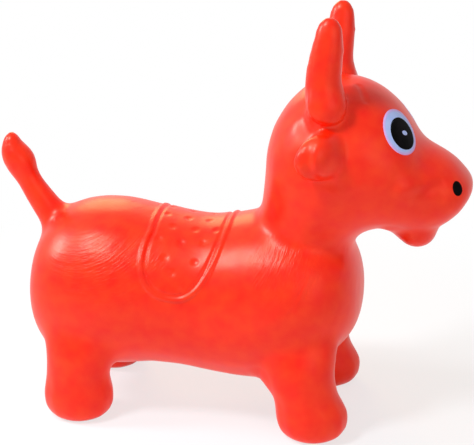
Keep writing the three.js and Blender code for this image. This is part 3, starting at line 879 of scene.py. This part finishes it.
def add_plug():
    """The plug's flange, with a rounded edge and a shallow dish, and its barbed stem."""
    low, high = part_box("valve_plug")
    middle = (low + high) / 2
    scale = (high.x - low.x) / 2 / (PLUG_RADIUS * MM)
    barbs = [(r, z + PLUG_BARB_SPACING * barb) for barb in range(PLUG_BARBS) for r, z in PLUG_BARB]
    outline = PLUG_FLANGE + barbs + PLUG_END
    bm = bmesh.new()
    verts = [bm.verts.new((middle.x + r * scale * MM, middle.y, low.z + z * MM)) for r, z in outline]
    edges = [bm.edges.new(pair) for pair in zip(verts, verts[1:])]
    bmesh.ops.spin(
        bm, geom=verts + edges, cent=middle, axis=(0, 0, 1), angle=2 * math.pi, steps=PLUG_SPOKES,
        use_merge=True,
    )
    bmesh.ops.remove_doubles(bm, verts=bm.verts, dist=PLUG_WELD * MM)
    bmesh.ops.recalc_face_normals(bm, faces=bm.faces)
    mesh = bpy.data.meshes.new("air_plug")
    bm.to_mesh(mesh)
    bm.free()
    mesh.shade_smooth()
    mesh.set_sharp_from_angle(angle=math.radians(PLUG_SHARP_EDGE))
    mesh.materials.append(plug_material())
    plug = add_object("air_plug", mesh)
    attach(plug, "plug")
    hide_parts("valve_plug")


# Camera, light and floor


def add_camera():
    data = bpy.data.cameras.new("camera")
    data.sensor_width = SENSOR_WIDTH
    data.lens = SENSOR_WIDTH * CAMERA_DISTANCE / WIDTH_AT_TARGET
    camera = add_object("camera", data)
    azimuth, elevation = math.radians(CAMERA_AZIMUTH), math.radians(CAMERA_ELEVATION)
    back = Vector((
        math.sin(azimuth) * math.cos(elevation),
        -math.cos(azimuth) * math.cos(elevation),
        math.sin(elevation),
    ))
    camera.location = CAMERA_TARGET + CAMERA_DISTANCE * back
    camera.rotation_euler = (-back).to_track_quat("-Z", "Y").to_euler()
    bpy.context.scene.camera = camera


def add_light(name, place, size, watts, colour):
    data = bpy.data.lights.new(name, "AREA")
    data.shape = "DISK"
    data.size = size
    data.energy = watts
    data.color = colour
    light = add_object(name, data)
    light.location = place
    light.rotation_euler = (CAMERA_TARGET - Vector(place)).to_track_quat("-Z", "Y").to_euler()


def seeing_rays(nodes, links):
    """An output that is 1 for the rays that show the background: seen straight, mirrored or through glass."""
    rays = nodes.new("ShaderNodeLightPath")
    seen = rays.outputs["Is Camera Ray"]
    for name in ("Is Glossy Ray", "Is Transmission Ray"):
        either = math_node(nodes, "MAXIMUM")
        links.new(seen, either.inputs[0])
        links.new(rays.outputs[name], either.inputs[1])
        seen = either.outputs["Value"]
    return seen


def add_world():
    world = bpy.data.worlds.new("studio")
    world.use_nodes = True
    bpy.context.scene.world = world
    nodes, links = world.node_tree.nodes, world.node_tree.links
    white = nodes.new("ShaderNodeBackground")
    white.inputs["Color"].default_value = WHITE
    lit = nodes["Background"]
    lit.inputs["Color"].default_value = WHITE
    lit.inputs["Strength"].default_value = WORLD_STRENGTH
    mix = nodes.new("ShaderNodeMixShader")
    links.new(seeing_rays(nodes, links), mix.inputs["Fac"])
    links.new(lit.outputs["Background"], mix.inputs[1])
    links.new(white.outputs["Background"], mix.inputs[2])
    links.new(mix.outputs["Shader"], nodes["World Output"].inputs["Surface"])


def floor_material():
    material, nodes, links, shader = new_material("pale_floor")
    shader.inputs["Base Color"].default_value = FLOOR_COLOUR
    shader.inputs["Roughness"].default_value = FLOOR_ROUGHNESS
    glow = nodes.new("ShaderNodeEmission")
    place = nodes.new("ShaderNodeTexCoord")
    away = nodes.new("ShaderNodeVectorMath")
    away.operation = "LENGTH"
    fade = nodes.new("ShaderNodeMapRange")
    fade.interpolation_type = "SMOOTHSTEP"
    for name, value in FLOOR_GLOW.items():
        fade.inputs[name].default_value = value
    links.new(place.outputs["Object"], away.inputs[0])
    links.new(away.outputs["Value"], fade.inputs["Value"])
    share = math_node(nodes, "MULTIPLY")
    links.new(seeing_rays(nodes, links), share.inputs[0])
    links.new(fade.outputs["Result"], share.inputs[1])
    mix = nodes.new("ShaderNodeMixShader")
    links.new(share.outputs["Value"], mix.inputs["Fac"])
    links.new(shader.outputs["BSDF"], mix.inputs[1])
    links.new(glow.outputs["Emission"], mix.inputs[2])
    links.new(mix.outputs["Shader"], nodes["Material Output"].inputs["Surface"])
    return material


def add_floor():
    far = FLOOR_HALF_WIDTH
    mesh = bpy.data.meshes.new("floor")
    mesh.from_pydata([(-far, -far, 0), (far, -far, 0), (far, far, 0), (-far, far, 0)], [], [(0, 1, 2, 3)])
    mesh.materials.append(floor_material())
    floor = add_object("floor", mesh)
    floor.location.z = -FLOOR_DROP * MM


add_camera()
for lamp in LAMPS:
    add_light(*lamp)
add_world()
add_floor()
skin = detailed_skin()
skin_tree = BVHTree.FromPolygons(points_of(skin).tolist(), [p.vertices[:] for p in skin.polygons])
join_to_bodies(divided(skin, skin_material()))
print_face(skin_tree)
add_plug()

bpy.context.scene.view_settings.view_transform = "Standard"
